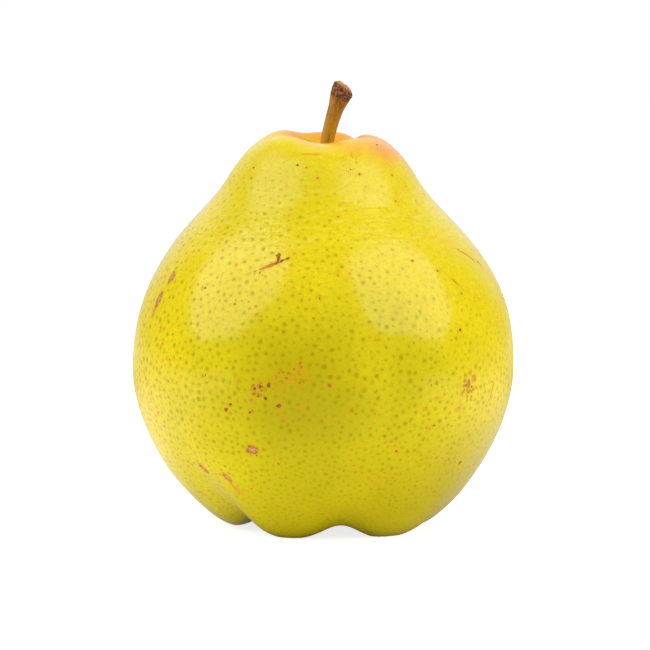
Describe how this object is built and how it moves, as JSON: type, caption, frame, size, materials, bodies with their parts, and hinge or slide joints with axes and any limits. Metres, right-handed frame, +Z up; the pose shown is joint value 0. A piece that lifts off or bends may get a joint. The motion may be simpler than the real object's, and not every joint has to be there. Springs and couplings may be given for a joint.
{
  "type": "pear",
  "caption": "Squat dessert pear with lobed base, leaning woody stem and dried calyx; rests on its base.",
  "frame": {"origin": "on the table under the middle of the pear, on the fruit's own axis", "axes": "+Z up along the fruit's axis, +X towards the side the stem leans to, -Y towards the front of the fruit"},
  "size_m": [0.0899, 0.09, 0.105],
  "materials": {
    "pear_skin": "waxy yellow-green skin over solid flesh",
    "woody_stem": "satin, fibrous",
    "dried_stamens": "dry fibres",
    "dried_sepal": "dry and papery"
  },
  "bodies": {
    "root": {"fruit": "pear_skin", "stem": "woody_stem", "stamen_tuft": "dried_stamens", "sepal_1": "dried_sepal", "sepal_2": "dried_sepal", "sepal_3": "dried_sepal", "sepal_4": "dried_sepal", "sepal_5": "dried_sepal"}
  },
  "joints": []
}
